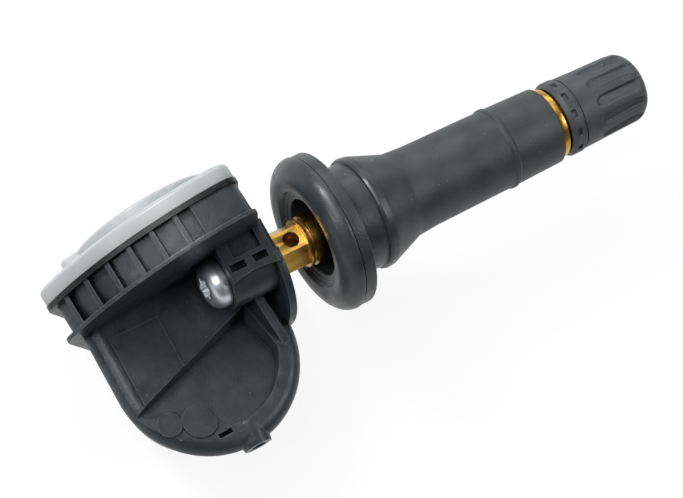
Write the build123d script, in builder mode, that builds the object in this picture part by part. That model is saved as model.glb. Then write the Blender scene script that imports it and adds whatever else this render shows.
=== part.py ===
from build123d import *
import os
from math import cos, radians, sin, tan

# Tyre pressure sensor on a snap-in rubber valve stem, in millimetres.
# The origin is on the stem axis, at the flange face that seats on the wheel rim.
# +X runs along the stem to the cap, +Y to the lid, +Z to the side with the screw boss.

# Small clearances
bond_gap = 0.02
thread_gap = 0.05
seat_gap = 0.03
slide_gap = 0.08
loose_gap = 0.3

# Rubber stem, along X from the rim seat
flange_radius = 9.8
flange_thickness = 3.9
flange_band = 1.6
flange_edge = 0.4
lip_width = 1.0
cup_radius = 6.3
cup_step_depth = 0.65
cup_hole_radius = 4.9
cup_depth = 4.6
groove_radius = 6.7
groove_length = 3.9
groove_fillet = 0.7
bulb_radius = 7.1
bulb_width = 0.9
stem_shoulder = 5.0
stem_radius = 5.22
stem_taper = 0.2
stem_ring_from_seat = 22.9
stem_ring_width = 0.6
stem_ring_height = 0.2
stem_length = 30.3
stem_end_radius = 4.86
stem_end_chamfer = 0.3

# Brass insert, with a six-sided foot in the housing boss
foot_flats = 4.9
foot_sides = 6
foot_turn = 10
foot_inside_boss = 3.6
foot_collar_radius = 3.0
foot_collar_width = 0.45
foot_collar_groove = 2.5
cross_hole_radius = 1.0
cross_hole_from_boss = 2.4
tube_radius = 3.1
tube_ridge_radius = 3.5
tube_ridge_width = 1.2
tube_ridge_pitch = 3.4
tube_ridge_count = 4
nipple_radius = 3.85
nipple_inside_rubber = 2.4
nipple_length = 9.0
nipple_chamfer = 0.5
nipple_shoulder_radius = 4.42
nipple_shoulder_length = 1.05
nipple_shoulder_edge = 0.3
air_bore_radius = 1.1

# Valve core inside the nipple
core_thread_radius = 2.62
core_plug_length = 3.8
core_plug_below_end = 0.6
core_ear_length = 1.6
core_ear_width = 1.9
core_hole_radius = 0.95
core_chamber_radius = 1.95
core_chamber_length = 22.0
core_barrel_radius = 1.72
core_barrel_length = 8.6
core_neck_radius = 1.3
core_neck_length = 1.9
core_gasket_radius = 2.2
core_floor = 1.7
core_pin_radius = 0.5
core_pin_below_end = 0.35
core_pin_tail = 4.6
core_collar_radius = 0.86
core_collar_width = 0.6
core_cup_radius = 1.6
core_cup_length = 1.7
core_pin_head_radius = 0.8
core_pin_head_length = 0.5
core_spring_radius = 0.72
core_spring_wire = 0.09
core_spring_length = 5.2
core_spring_turns = 7

# Cap
cap_gap = 1.2
cap_length = 12.1
cap_radius = 4.78
cap_end_radius = 4.4
cap_skirt = 1.7
cap_step = 0.12
cap_dome = 2.2
cap_top_wall = 2.9
cap_flute_count = 12
cap_flute_radius = 1.1
cap_flute_depth = 0.35
cap_flute_start = 2.5
cap_flute_flare = 2
cap_notch_from_base = 0.55
cap_notch_width = 1.0
cap_notch_length = 0.7
cap_notch_depth = 0.3

# Retaining screw, on the stem axis
screw_head_radius = 2.95
screw_head_height = 2.1
screw_head_rim = 0.7
screw_shank_radius = 1.6
screw_tip_gap = 0.5
screw_drive_radius = 1.05
screw_lobe_radius = 0.36
screw_drive_depth = 1.3
screw_lobes = 6

# Stem boss on the housing
boss_face_from_seat = 8.7
boss_length = 6.9
boss_top = 4.2
boss_bottom = 1.7
boss_arch = 0.45
boss_round_radius = 3.6
boss_post = 1.4
boss_corner = 0.9
boss_wall = 1.75
boss_panel_depth = 0.5
boss_panel_foot = 1.0
window_depth = 1.3
window_height = 0.95
window_foot = -0.5
window_edge = 0.4
window_gap = 1.0
window_left_width = 2.1
window_right_width = 1.9
gusset_wall = 0.95
gusset_foot = 7.4
gusset_knee = 3.8
gusset_knee_top = 2.8
gusset_pocket_depth = 1.6
rib_from_screw = 2.5
rib_lean = 1.7
rib_breadth = 1.1
rib_foot = 9.1
rib_top = 0.0

# Box under the lid, turned about Z against the stem
body_turn = 3.3
body_yaw = 24
body_from_seat = 20.75
box_half_width = 13.7
box_near_mid = 10.4
box_near_left = 2.9
box_near_right = 8.2
box_far = 14.0
box_far_half_width = 9.5
box_far_bow = 1.0
box_corner = 3.0
ledge_level = 2.65
ledge_thickness = 0.5
floor_thickness = 1.4
rim_thickness = 0.65
lid_level = 7.57
panel_recess = 1.1
box_wall = 1.3
rib_width = 0.6
rib_pitch = 3.2
rib_count = 6
rib_first = -10.65
end_panel_from_middle = 7.4
end_panel_recess = 0.35
shelf_width = 1.0

# Lid
lid_height = 2.05
lid_wall = 0.8
lid_inset = 0.12
lid_edge = 0.6
bulge_radius = 9.1
bulge_height = 1.5
bulge_edge = 0.35
bulge_along = 1.1
bulge_back = 0.9
bulge_arm_reach = 10.7
bulge_arm_width = 8.0
bulge_arm_corner = 0.9

# Keel under the box
keel_radius = 11.5
keel_centre_from_seat = 20.35
keel_centre_drop = 6.65
keel_face = 3.7
keel_waist = 5.6
keel_depth = 9.0
keel_draft = 17
keel_edge = 1.8
keel_wall = 1.5
keel_front_wall = 1.8
keel_way_length = 13.0
keel_way_depth = 4.6
step_left_drop = 10.0
step_right_drop = 2.9
step_right_from_seat = 13.2
recess_depth = 2.8
recess_tilt = 10
recess_tilt_way = 73
recess_draft = 13
recess_radius = 8.7
recess_start_angle = -16
recess_middle_angle = -55
recess_stop_angle = -103
pad_width = 6.5
pad_height = 0.25
pad_from_left = 2.0
pad_length = 9.6
pad_drop = 4.5
disc_radii = (1.5, 2.1)
disc_places = ((-28.2, -11.8), (-24.8, -12.95))
disc_height = 0.28
slot_length = 1.8
slot_width = 0.6
slot_depth = 0.9
slot_from_port = 3.3
driver_radius = 1.7

# Pressure port at the foot of the keel
port_from_seat = 19.5
port_depth = 5.6
port_end_drop = 18.5
port_length = 3.0
port_base_radius = 2.2
port_end_radius = 1.75
port_mouth_radius = 0.95
port_mouth_depth = 1.1
port_bore_radius = 0.55
port_bore_slope = 35
port_bore_length = 6.0
filter_thickness = 0.4

# Board and what it carries
board_thickness = 0.8
board_above_floor = 0.9
cell_radius = 8.0
cell_height = 3.2
cell_rim = 0.3
tab_thickness = 0.2
tab_width = 3.0
chip_length = 3.6
chip_width = 2.6
chip_height = 1.8
chip_along = -4.4
chip_back = 9.6
coil_length = 7.4
coil_width = 2.2
coil_height = 2.0
coil_along = -3.5
coil_back = 10.4
coil_cheek = 0.9
winding_thickness = 0.35
crystal_length = 3.2
crystal_width = 2.4
crystal_height = 0.8
crystal_corner = 0.5
crystal_along = 5.5
crystal_back = 10.3
chip_part_length = 1.6
chip_part_width = 0.8
chip_part_height = 0.7
chip_part_pitch = 2.0
chip_part_count = 5
chip_part_along = -5.0
chip_part_back = 2.0
antenna_length = 9.0
antenna_height = 2.0
antenna_thickness = 0.4
antenna_from_edge = 2.15
antenna_back = 3.0

# Places worked out from the sizes above
boss_face = -boss_face_from_seat
boss_end = boss_face - boss_length
foot_end = boss_face - foot_inside_boss
stem_end = stem_length
nipple_end = stem_end + nipple_length
bulb_end = groove_length + bulb_width
shoulder_end = bulb_end + stem_shoulder
ring_start = stem_ring_from_seat
ring_end = ring_start + stem_ring_width
cap_base = stem_end + cap_gap
cap_end = cap_base + cap_length
cap_inside = cap_end - cap_top_wall
plug_top = nipple_end - core_plug_below_end
plug_foot = plug_top - core_plug_length
barrel_top = plug_foot - seat_gap
barrel_foot = barrel_top - core_barrel_length
neck_foot = barrel_top - core_neck_length
core_floor_top = barrel_foot + core_floor
collar_foot = core_floor_top + core_spring_length + 2 * seat_gap
chamber_foot = nipple_end - core_chamber_length
cup_top = barrel_foot - seat_gap
cup_foot = cup_top - core_cup_length
ledge_top = ledge_level + ledge_thickness
floor_level = ledge_level + floor_thickness
rim_level = lid_level - rim_thickness
lid_top = lid_level + lid_height
lid_ceiling = lid_top - lid_wall
bulge_top = lid_top + bulge_height
cavity_inset = panel_recess + box_wall
board_inset = cavity_inset + loose_gap / 2
antenna_along = antenna_from_edge + board_inset - box_half_width
board_level = floor_level + board_above_floor
board_top = board_level + seat_gap + board_thickness
cell_level = board_top + 2 * seat_gap + tab_thickness
cell_top = cell_level + cell_height
keel_back = keel_waist + keel_depth
keel_cavity_front = keel_face + recess_depth + keel_front_wall
body_sin = sin(radians(body_turn))
body_cos = cos(radians(body_turn))
yaw_sin = sin(radians(body_yaw))
yaw_cos = cos(radians(body_yaw))
keel_centre = (-keel_centre_from_seat, -keel_centre_drop)
lid_axis = Axis((0, 0, 0), (-body_sin, body_cos, 0))
foot_normal = (0, sin(radians(foot_turn)), cos(radians(foot_turn)))


# A plane square to the lid, at a height above the stem axis, seen from the lid
def level(height):
    return Plane(
        origin=(-body_from_seat - body_sin * height, body_cos * height, 0),
        x_dir=(yaw_cos * body_cos, yaw_cos * body_sin, yaw_sin),
        z_dir=(-body_sin, body_cos, 0),
    )


# Height over the stem axis of a point of the box, at a distance behind the rim seat
def height_at(along, height):
    return (height + body_sin * (along + body_from_seat)) / body_cos


# A plane square to the stem, looking to the cap
def across(along):
    return Plane(origin=(along, 0, 0), x_dir=(0, 1, 0), z_dir=(1, 0, 0))


# Outline of the box seen from the lid, bowed on both long sides
with BuildSketch() as box_outline:
    with BuildLine():
        near_left = (-box_half_width, -box_near_left)
        near_right = (box_half_width, -box_near_right)
        far_left = (-box_half_width, box_far)
        far_right = (box_far_half_width, box_far)
        ThreePointArc(near_left, (0, -box_near_mid), near_right)
        Line(near_right, far_right)
        ThreePointArc(far_right, (0, box_far + box_far_bow), far_left)
        Line(far_left, near_left)
    make_face()
    fillet(box_outline.vertices(), box_corner)

# Outline of the keel seen from the screw side, closed at the top inside the box floor
keel_left = -keel_centre_from_seat - keel_radius
keel_right = -keel_centre_from_seat + keel_radius
keel_top = ledge_level + floor_thickness / 2
with BuildSketch() as keel_outline:
    with BuildLine():
        keel_foot = (-keel_centre_from_seat, -keel_centre_drop - keel_radius)
        Line((keel_right, height_at(keel_right, keel_top)), (keel_left, height_at(keel_left, keel_top)))
        Line((keel_left, height_at(keel_left, keel_top)), (keel_left, -keel_centre_drop))
        ThreePointArc((keel_left, -keel_centre_drop), keel_foot, (keel_right, -keel_centre_drop))
        Line((keel_right, -keel_centre_drop), (keel_right, height_at(keel_right, keel_top)))
    make_face()

# Gusset under the stem boss: a bowed outer wall, and a sloping rib that runs to the rim of the keel
gusset_head = boss_wall - boss_bottom
gusset_bed = -keel_face - gusset_pocket_depth
with BuildPart() as gusset:
    with BuildSketch(across(boss_face - gusset_wall)):
        with BuildLine():
            wall_head = (gusset_head, boss_top)
            wall_foot = (-gusset_foot, -keel_face)
            ThreePointArc(wall_head, (-gusset_knee, gusset_knee_top), wall_foot)
            Polyline(wall_foot, (-gusset_foot, gusset_bed), (gusset_head, gusset_bed), wall_head)
        make_face()
    extrude(amount=gusset_wall)

rib_head_left = boss_end + rib_from_screw
rib_foot_left = rib_head_left + rib_lean
with BuildPart() as rim_rib:
    with BuildSketch(Plane.XY.offset(gusset_bed)):
        with BuildLine():
            Polyline(
                (rib_head_left, -boss_bottom),
                (rib_head_left + rib_breadth, -boss_bottom),
                (rib_foot_left + rib_breadth, -rib_foot),
                (rib_foot_left, -rib_foot),
                close=True,
            )
        make_face()
    extrude(amount=rib_top - gusset_bed)
    rib_slope = Plane(
        origin=(rib_head_left, -boss_bottom, rib_top),
        z_dir=(0, -rib_top - keel_face, rib_foot - boss_bottom),
    )
    split(bisect_by=rib_slope, keep=Keep.BOTTOM)

# Upper block of the stem boss, arched below, with its outer corner rounded
with BuildPart() as boss_block:
    with BuildSketch(Plane.XY.offset(-keel_face)):
        with BuildLine():
            Polyline(
                (boss_face, -boss_bottom),
                (boss_face, height_at(boss_face, keel_top)),
                (boss_end, height_at(boss_end, keel_top)),
                (boss_end, -boss_bottom),
            )
            arch_top = ((boss_end + boss_face) / 2, boss_arch - boss_bottom)
            ThreePointArc((boss_end, -boss_bottom), arch_top, (boss_face, -boss_bottom))
        make_face()
    extrude(amount=keel_face + boss_top)
    fillet(boss_block.edges().filter_by(Axis.Y).group_by(Axis.Z)[-1].sort_by(Axis.X)[-1], boss_corner)

# Recess below the diagonal step, with drafted walls and a floor that is deepest at the step's right end
recess_start = Vector(recess_radius, 0).rotate(Axis.Z, recess_start_angle) + Vector(*keel_centre)
recess_middle = Vector(recess_radius, 0).rotate(Axis.Z, recess_middle_angle) + Vector(*keel_centre)
recess_stop = Vector(recess_radius, 0).rotate(Axis.Z, recess_stop_angle) + Vector(*keel_centre)
recess_low = -keel_centre_drop - keel_radius - keel_edge
recess_left = keel_left - keel_edge
with BuildPart() as recess:
    with BuildSketch(Plane.XY.offset(pad_height - keel_face)):
        with BuildLine():
            Polyline(
                (recess_stop.X, recess_stop.Y),
                (recess_stop.X, recess_low),
                (recess_left, recess_low),
                (recess_left, -step_left_drop),
                (-step_right_from_seat, -step_right_drop),
                (recess_start.X, recess_start.Y),
            )
            ThreePointArc(recess_start, recess_middle, recess_stop)
        make_face()
    extrude(amount=-pad_height - keel_waist, taper=recess_draft)
    floor_normal = Vector(0, 0, 1).rotate(Axis.Y, recess_tilt).rotate(Axis.Z, recess_tilt_way)
    recess_floor = Plane(
        origin=(-step_right_from_seat, -step_right_drop, -keel_face - recess_depth),
        x_dir=(floor_normal.Z, 0, -floor_normal.X),
        z_dir=floor_normal,
    )
    split(bisect_by=recess_floor, keep=Keep.TOP)

# Housing: keel, box, stem boss and pressure port in one moulding
port_plane = Plane(
    origin=(-port_from_seat, -port_end_drop, -port_depth), x_dir=(1, 0, 0), z_dir=(0, 1, 0)
)
bore_plane = Plane(
    origin=(-port_from_seat, -port_end_drop + port_mouth_depth / 2, -port_depth),
    x_dir=(1, 0, 0),
    z_dir=(0, cos(radians(port_bore_slope)), -sin(radians(port_bore_slope))),
)
rib_places = [(rib_first + rib_pitch * i, 0) for i in range(rib_count)]
ledge_right = box_half_width - end_panel_recess
box_depth = box_near_mid + box_far + box_far_bow
slot_middle = -keel_centre_drop - recess_radius - slot_width / 2
window_left = boss_end + window_edge
window_right = window_left + window_left_width + window_gap
with BuildPart() as housing:
    with BuildSketch(Plane.XY.offset(-keel_waist)):
        add(keel_outline.sketch)
    extrude(amount=keel_waist - keel_face)
    fillet(housing.faces().sort_by(Axis.Z)[-1].edges().filter_by(GeomType.CIRCLE), keel_edge)
    with BuildSketch(Plane.XY.offset(-keel_waist)):
        add(keel_outline.sketch)
    extrude(amount=-keel_depth, taper=keel_draft)

    # Raised pad above the step, the recess below it, and the two discs on the recess floor
    with BuildSketch(Plane.XY.offset(-keel_face)):
        with Locations((keel_left + pad_from_left + pad_width / 2, -pad_drop)):
            Rectangle(pad_width, pad_length)
    extrude(amount=pad_height)
    add(recess.part, mode=Mode.SUBTRACT)
    for radius, place in zip(disc_radii, disc_places):
        disc_floor = recess_floor.to_local_coords(Vector(place[0], place[1], -keel_face))
        with BuildSketch(recess_floor):
            with Locations((disc_floor.X, disc_floor.Y)):
                Circle(radius)
        extrude(amount=disc_height)

    # Box: ledge, ribbed wall and rim, all on one outline
    with BuildSketch(level(ledge_level)):
        add(box_outline.sketch)
        with Locations((ledge_right - box_half_width, 0)):
            Rectangle(2 * box_half_width, 2 * box_depth, mode=Mode.INTERSECT)
    extrude(amount=ledge_thickness)
    with BuildSketch(level(ledge_top)):
        add(box_outline.sketch)
        offset(amount=-panel_recess)
    extrude(amount=rim_level - ledge_top)
    with BuildSketch(level(ledge_top)):
        with Locations(*rib_places):
            Rectangle(rib_width, 2 * box_depth)
        with Locations((end_panel_from_middle + box_half_width, 0)):
            Rectangle(2 * box_half_width, 2 * box_depth)
        with BuildSketch(mode=Mode.PRIVATE) as rib_outline:
            add(box_outline.sketch)
            offset(amount=-end_panel_recess)
        add(rib_outline.sketch, mode=Mode.INTERSECT)
    extrude(amount=rim_level - ledge_top)
    with BuildSketch(level(rim_level)):
        add(box_outline.sketch)
    extrude(amount=rim_thickness)

    # Stem boss with its gusset, and the pocket between the gusset and the rib
    with BuildSketch(Plane.XY.offset(-keel_face)):
        with BuildLine():
            Polyline(
                (rib_head_left + rib_breadth, -boss_bottom),
                (boss_face - gusset_wall, -boss_bottom),
                (boss_face - gusset_wall, -gusset_foot),
                (rib_foot_left + rib_breadth, -gusset_foot),
                close=True,
            )
        make_face()
    extrude(amount=-gusset_pocket_depth, mode=Mode.SUBTRACT)
    add(boss_block.part)
    with BuildSketch(across(boss_end)):
        Circle(boss_round_radius)
        with Locations((0, boss_top - boss_round_radius)):
            Rectangle(2 * boss_round_radius, 2 * boss_round_radius, mode=Mode.INTERSECT)
    extrude(amount=boss_length)
    add(gusset.part)
    add(rim_rib.part)
    with BuildSketch(Plane.XY.offset(boss_top)):
        with BuildLine():
            Polyline(
                (boss_end + boss_post, boss_panel_foot),
                (boss_face - boss_wall, boss_panel_foot),
                (boss_face - boss_wall, height_at(boss_face - boss_wall, ledge_level)),
                (boss_end + boss_post, height_at(boss_end + boss_post, ledge_level)),
                close=True,
            )
        make_face()
    extrude(amount=-boss_panel_depth, mode=Mode.SUBTRACT)
    with BuildSketch(Plane.XY.offset(boss_top)):
        with Locations((window_left + window_left_width / 2, window_foot + window_height / 2)):
            Rectangle(window_left_width, window_height)
        with Locations((window_right + window_right_width / 2, window_foot + window_height / 2)):
            Rectangle(window_right_width, window_height)
    extrude(amount=-window_depth, mode=Mode.SUBTRACT)

    # Pressure port
    with BuildSketch(port_plane):
        Circle(port_end_radius)
    with BuildSketch(port_plane.offset(port_length)):
        Circle(port_base_radius)
    loft()

    # Cavities: board space, cell space, keel and the way between them
    with BuildSketch(level(floor_level)):
        add(box_outline.sketch)
        offset(amount=-cavity_inset - shelf_width)
    extrude(amount=board_above_floor, mode=Mode.SUBTRACT)
    with BuildSketch(level(board_level)):
        add(box_outline.sketch)
        offset(amount=-cavity_inset)
    extrude(amount=lid_level - board_level, mode=Mode.SUBTRACT)
    with BuildSketch(Plane.XY.offset(-keel_cavity_front)):
        add(keel_outline.sketch)
        offset(amount=-keel_wall - (keel_cavity_front - keel_waist) * tan(radians(keel_draft)))
    extrude(amount=keel_cavity_front + keel_wall - keel_back, taper=keel_draft, mode=Mode.SUBTRACT)
    way_left = keel_centre[0] - keel_way_length / 2
    way_right = keel_centre[0] + keel_way_length / 2
    with BuildSketch(Plane.XY.offset(-keel_cavity_front)):
        with BuildLine():
            Polyline(
                (way_left, -keel_centre_drop),
                (way_right, -keel_centre_drop),
                (way_right, height_at(way_right, floor_level + seat_gap)),
                (way_left, height_at(way_left, floor_level + seat_gap)),
                close=True,
            )
        make_face()
    extrude(amount=-keel_way_depth, mode=Mode.SUBTRACT)

    # Bores: screw shank, stem foot, driver way, port
    with BuildSketch(across(boss_end)):
        Circle(screw_shank_radius + loose_gap)
    extrude(amount=boss_length, mode=Mode.SUBTRACT)
    with BuildSketch(across(foot_end - seat_gap)):
        RegularPolygon(foot_flats / 2 + thread_gap, foot_sides, major_radius=False, rotation=-foot_turn)
    extrude(amount=foot_inside_boss + 2 * seat_gap, mode=Mode.SUBTRACT)
    with BuildSketch(across(boss_end)):
        Circle(screw_head_radius + loose_gap)
    extrude(amount=-screw_head_height - 2 * loose_gap, mode=Mode.SUBTRACT)
    with BuildSketch(across(boss_end)):
        Circle(driver_radius)
    extrude(amount=-2 * box_half_width, mode=Mode.SUBTRACT)
    with BuildSketch(port_plane):
        Circle(port_mouth_radius)
    extrude(amount=port_mouth_depth, mode=Mode.SUBTRACT)
    with BuildSketch(bore_plane):
        Circle(port_bore_radius)
    extrude(amount=port_bore_length, mode=Mode.SUBTRACT)
    slot_place = Vector(-port_from_seat - slot_from_port, slot_middle, -keel_face)
    slot_floor = recess_floor.to_local_coords(slot_place)
    with BuildSketch(recess_floor):
        with Locations((slot_floor.X, slot_floor.Y)):
            Rectangle(slot_length, slot_width)
    extrude(amount=-slot_depth, both=True, mode=Mode.SUBTRACT)
housing.part.label = "housing"

# Lid: shallow cover with one bulge over the cell and its upper strip
bulge_place = (bulge_along, bulge_back)
arm_place = (bulge_along - bulge_arm_reach / 2, bulge_back)
with BuildPart() as lid:
    with BuildSketch(level(lid_level + seat_gap)):
        add(box_outline.sketch)
        offset(amount=-lid_inset)
    extrude(amount=lid_height - seat_gap)
    fillet(lid.faces().sort_by(lid_axis)[-1].edges(), lid_edge)
    with BuildSketch(level(lid_ceiling)):
        with Locations(arm_place):
            RectangleRounded(bulge_arm_reach, bulge_arm_width, bulge_arm_corner)
        with Locations(bulge_place):
            Circle(bulge_radius)
    extrude(amount=bulge_top - lid_ceiling)
    fillet(lid.faces().sort_by(lid_axis)[-1].edges(), bulge_edge)
    with BuildSketch(level(lid_level)):
        add(box_outline.sketch)
        offset(amount=-cavity_inset)
    extrude(amount=lid_ceiling - lid_level, mode=Mode.SUBTRACT)
    with BuildSketch(level(lid_level)):
        with Locations(arm_place):
            Rectangle(bulge_arm_reach - 2 * lid_wall, bulge_arm_width - 2 * lid_wall)
        with Locations(bulge_place):
            Circle(bulge_radius - lid_wall)
    extrude(amount=bulge_top - lid_wall - lid_level, mode=Mode.SUBTRACT)
lid.part.label = "lid"

# Rubber stem: flange, rim groove, bulb and tapered stem on the brass insert
bed_radius = tube_radius + bond_gap
nipple_start = stem_end - nipple_inside_rubber
cup_floor = -flange_thickness + cup_depth
stem_waist_radius = stem_radius - stem_taper
with BuildPart() as rubber_stem:
    with BuildSketch(Plane.XY):
        with BuildLine():
            Polyline(
                (cup_floor, bed_radius),
                (cup_floor, cup_hole_radius),
                (-flange_thickness + cup_step_depth, cup_hole_radius),
                (-flange_thickness + cup_step_depth, cup_radius),
                (-flange_thickness, cup_radius),
                (-flange_thickness, cup_radius + lip_width),
            )
            TangentArc(
                (-flange_thickness, cup_radius + lip_width),
                (-flange_band, flange_radius),
                tangent=(0, 1),
            )
            Polyline(
                (-flange_band, flange_radius),
                (-flange_edge, flange_radius),
                (0, flange_radius - flange_edge),
                (0, groove_radius + groove_fillet),
            )
            RadiusArc((0, groove_radius + groove_fillet), (groove_fillet, groove_radius), groove_fillet)
            Polyline(
                (groove_fillet, groove_radius),
                (groove_length - groove_fillet, groove_radius),
                (groove_length, bulb_radius),
                (bulb_end, bulb_radius),
                (shoulder_end, stem_radius),
                (ring_start, stem_waist_radius),
                (ring_start, stem_waist_radius + stem_ring_height),
                (ring_end, stem_waist_radius + stem_ring_height),
                (ring_end, stem_waist_radius),
                (stem_end - stem_end_chamfer, stem_end_radius),
                (stem_end, stem_end_radius - stem_end_chamfer),
                (stem_end, nipple_radius + bond_gap),
                (nipple_start - bond_gap, nipple_radius + bond_gap),
                (nipple_start - bond_gap, bed_radius),
            )
            Line((nipple_start - bond_gap, bed_radius), (cup_floor, bed_radius))
        make_face()
    revolve(axis=Axis.X)
    for i in range(tube_ridge_count):
        ridge_start = bulb_end + tube_ridge_pitch * (i + 1)
        with BuildSketch(across(ridge_start - bond_gap)):
            Circle(tube_ridge_radius + bond_gap)
        extrude(amount=tube_ridge_width + 2 * bond_gap, mode=Mode.SUBTRACT)
rubber_stem.part.label = "rubber_stem"

# Brass insert: six-sided foot, collars, tube with ridges, nipple and its bores
tap_foot = boss_face - cross_hole_radius
cross_hole_at = boss_face + cross_hole_from_boss
collar_start = -flange_thickness - 2 * foot_collar_width
with BuildPart() as brass_stem:
    with BuildSketch(across(foot_end)):
        RegularPolygon(foot_flats / 2, foot_sides, major_radius=False, rotation=-foot_turn)
    extrude(amount=collar_start - foot_end)
    with BuildSketch(across(collar_start)):
        Circle(foot_collar_radius)
    extrude(amount=foot_collar_width)
    with BuildSketch(across(collar_start + foot_collar_width)):
        Circle(foot_collar_groove)
    extrude(amount=foot_collar_width)
    with BuildSketch(across(-flange_thickness)):
        Circle(tube_radius)
    extrude(amount=flange_thickness + nipple_start)
    for i in range(tube_ridge_count):
        with BuildSketch(across(bulb_end + tube_ridge_pitch * (i + 1))):
            Circle(tube_ridge_radius)
        extrude(amount=tube_ridge_width)
    with BuildSketch(across(nipple_start)):
        Circle(nipple_radius)
    extrude(amount=nipple_end - nipple_start)
    chamfer(brass_stem.faces().sort_by(Axis.X)[-1].edges(), nipple_chamfer)
    with BuildSketch(across(stem_end + bond_gap)):
        Circle(nipple_shoulder_radius)
    extrude(amount=nipple_shoulder_length - nipple_shoulder_edge)
    with BuildSketch(across(stem_end + bond_gap + nipple_shoulder_length - nipple_shoulder_edge)):
        Circle(nipple_shoulder_radius)
    extrude(amount=nipple_shoulder_edge, taper=45)
    with BuildSketch(across(foot_end)):
        Circle(screw_shank_radius + thread_gap)
    extrude(amount=tap_foot - foot_end, mode=Mode.SUBTRACT)
    with BuildSketch(across(cross_hole_at)):
        Circle(air_bore_radius)
    extrude(amount=nipple_end - cross_hole_at, mode=Mode.SUBTRACT)
    with BuildSketch(across(chamber_foot)):
        Circle(core_chamber_radius)
    extrude(amount=nipple_end - chamber_foot, mode=Mode.SUBTRACT)
    with BuildSketch(across(neck_foot)):
        Circle(core_chamber_radius)
    with BuildSketch(across(barrel_top)):
        Circle(core_thread_radius + thread_gap)
    loft(mode=Mode.SUBTRACT)
    with BuildSketch(across(barrel_top)):
        Circle(core_thread_radius + thread_gap)
    extrude(amount=nipple_end - barrel_top, mode=Mode.SUBTRACT)
    with BuildSketch(Plane(origin=(cross_hole_at, 0, 0), x_dir=(1, 0, 0), z_dir=foot_normal)):
        Circle(cross_hole_radius)
    extrude(amount=foot_flats, mode=Mode.SUBTRACT)
brass_stem.part.label = "brass_stem"

# Retaining screw: domed head with a six-lobed drive, and its shank
screw_tip = tap_foot - screw_tip_gap
head_seat = boss_end - seat_gap
with BuildPart() as retaining_screw:
    with BuildSketch(across(head_seat)):
        Circle(screw_head_radius)
    extrude(amount=-screw_head_height)
    fillet(retaining_screw.edges().sort_by(Axis.X)[0], screw_head_height - screw_head_rim)
    with BuildSketch(across(head_seat)):
        Circle(screw_shank_radius)
    extrude(amount=screw_tip - head_seat)
    with BuildSketch(across(head_seat - screw_head_height)):
        Circle(screw_drive_radius)
        with PolarLocations(screw_drive_radius, screw_lobes):
            Circle(screw_lobe_radius)
    extrude(amount=screw_drive_depth, mode=Mode.SUBTRACT)
retaining_screw.part.label = "retaining_screw"

# Valve core: plug with two ears, barrel, gasket, pin, seat and spring
with BuildPart() as core_plug:
    with BuildSketch(across(plug_foot)):
        Circle(core_thread_radius)
        Circle(core_hole_radius, mode=Mode.SUBTRACT)
    extrude(amount=core_plug_length)
    with BuildSketch(across(plug_top)):
        Circle(core_thread_radius + loose_gap)
        Rectangle(2 * core_thread_radius + 2 * loose_gap, core_ear_width, mode=Mode.SUBTRACT)
    extrude(amount=-core_ear_length, mode=Mode.SUBTRACT)
core_plug.part.label = "core_plug"

with BuildPart() as core_barrel:
    with BuildSketch(across(barrel_foot)):
        Circle(core_barrel_radius)
    extrude(amount=core_barrel_length - core_neck_length)
    with BuildSketch(across(neck_foot)):
        Circle(core_neck_radius)
    extrude(amount=core_neck_length)
    with BuildSketch(across(core_floor_top)):
        Circle(core_hole_radius)
    extrude(amount=barrel_top - core_floor_top, mode=Mode.SUBTRACT)
    with BuildSketch(across(barrel_foot)):
        Circle(core_pin_radius + slide_gap)
    extrude(amount=core_floor, mode=Mode.SUBTRACT)
core_barrel.part.label = "core_barrel"

with BuildPart() as core_gasket:
    with BuildSketch(across(neck_foot + seat_gap)):
        Circle(core_chamber_radius - seat_gap)
    with BuildSketch(across(barrel_top - seat_gap)):
        Circle(core_gasket_radius)
    loft()
    with BuildSketch(across(neck_foot)):
        Circle(core_neck_radius + seat_gap)
    extrude(amount=core_neck_length, mode=Mode.SUBTRACT)
core_gasket.part.label = "core_gasket"

pin_top = nipple_end - core_pin_below_end
pin_foot = cup_foot - core_pin_tail
with BuildPart() as core_pin:
    with BuildSketch(across(pin_foot)):
        Circle(core_pin_radius)
    extrude(amount=pin_top - pin_foot)
    with BuildSketch(across(collar_foot)):
        Circle(core_collar_radius)
    extrude(amount=core_collar_width)
    with BuildSketch(across(cup_foot - seat_gap)):
        Circle(core_pin_head_radius)
    extrude(amount=-core_pin_head_length)
core_pin.part.label = "core_pin"

with BuildPart() as core_cup:
    with BuildSketch(across(cup_foot)):
        Circle(core_cup_radius)
        Circle(core_pin_radius + bond_gap, mode=Mode.SUBTRACT)
    extrude(amount=core_cup_length)
core_cup.part.label = "core_cup"

spring_start = core_floor_top + seat_gap + core_spring_wire
spring_run = core_spring_length - 2 * core_spring_wire
with BuildPart() as core_spring:
    with BuildLine() as spring_path:
        Helix(
            pitch=spring_run / core_spring_turns,
            height=spring_run,
            radius=core_spring_radius,
            center=(spring_start, 0, 0),
            direction=(1, 0, 0),
        )
    with BuildSketch(Plane(origin=spring_path.line @ 0, z_dir=spring_path.line % 0)):
        Circle(core_spring_wire)
    sweep(is_frenet=True)
core_spring.part.label = "core_spring"

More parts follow.
